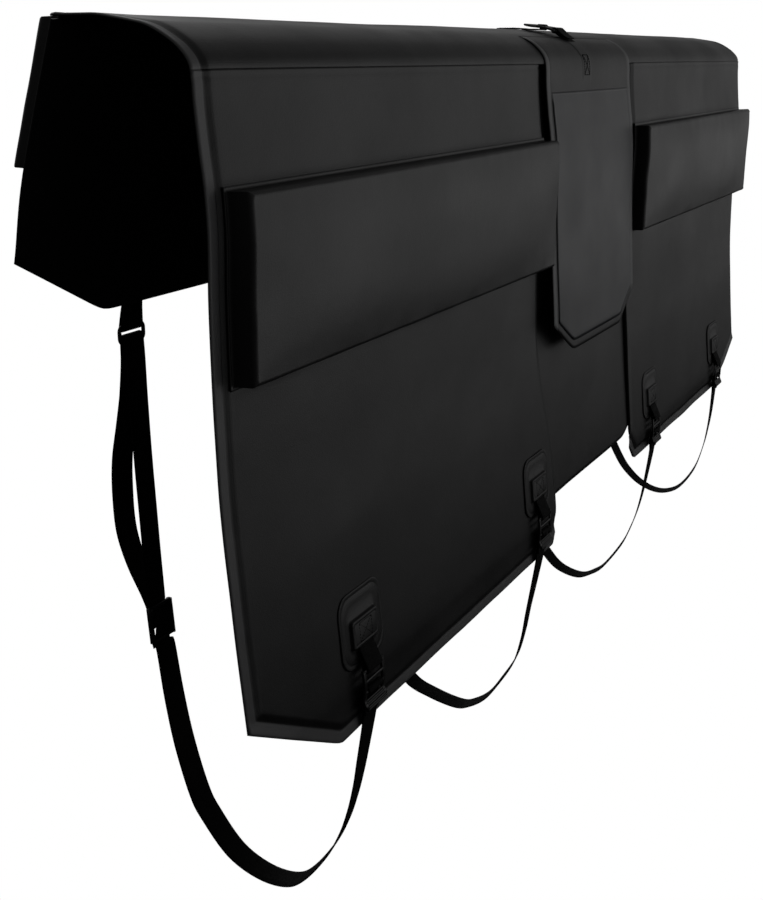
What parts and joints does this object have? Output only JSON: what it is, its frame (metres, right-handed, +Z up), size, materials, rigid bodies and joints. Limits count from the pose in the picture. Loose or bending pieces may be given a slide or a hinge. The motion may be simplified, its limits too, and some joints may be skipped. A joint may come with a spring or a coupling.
{
  "type": "vehicle tailgate pad",
  "caption": "Black padded cover that folds over a pickup tailgate, with foam bumpers, an access flap and webbing straps looped underneath from front to back.",
  "frame": {"origin": "midway along the pad, on the flat underside of its top, where it lies on a tailgate's upper edge", "axes": "+X along the pad's length, +Y from the front face towards the rear face and the load bed, +Z up"},
  "size_m": [1.5702, 0.2453, 0.7852],
  "materials": {
    "cover_fabric": "black coated woven cover cloth with a dull sheen",
    "bumper_fabric": "black coated cloth, a little smoother, drawn over the foam bumpers",
    "flap_film": "smooth dark grey panel on the flap",
    "webbing": "black woven strap webbing",
    "buckle_plastic": "black moulded buckle plastic",
    "foam": "dark closed-cell foam inside the bumpers"
  },
  "bodies": {
    "root": {"top_panel": "cover_fabric", "back_panel": "cover_fabric", "front_panel_left": "cover_fabric", "front_panel_right": "cover_fabric", "centre_panel": "cover_fabric", "access_flap": "cover_fabric", "bumper_cover_left": "bumper_fabric", "bumper_cover_right": "bumper_fabric", "bumper_cover_rear": "bumper_fabric", "bumper_foam_left": "foam", "bumper_foam_right": "foam", "bumper_foam_rear": "foam", "flap_panel": "flap_film", "flap_tab": "webbing", "centre_strap": "webbing", "top_buckle": "buckle_plastic", "anchor_patch_1": "cover_fabric", "anchor_web_1": "webbing", "strap_1": "webbing", "rear_web_1": "webbing", "front_buckle_1": "buckle_plastic", "slider_1": "buckle_plastic", "rear_ring_1": "buckle_plastic", "anchor_patch_2": "cover_fabric", "anchor_web_2": "webbing", "strap_2": "webbing", "rear_web_2": "webbing", "front_buckle_2": "buckle_plastic", "slider_2": "buckle_plastic", "rear_ring_2": "buckle_plastic", "anchor_patch_3": "cover_fabric", "anchor_web_3": "webbing", "strap_3": "webbing", "rear_web_3": "webbing", "front_buckle_3": "buckle_plastic", "slider_3": "buckle_plastic", "rear_ring_3": "buckle_plastic", "anchor_patch_4": "cover_fabric", "anchor_web_4": "webbing", "strap_4": "webbing", "rear_web_4": "webbing", "front_buckle_4": "buckle_plastic", "slider_4": "buckle_plastic", "rear_ring_4": "buckle_plastic"}
  },
  "joints": []
}
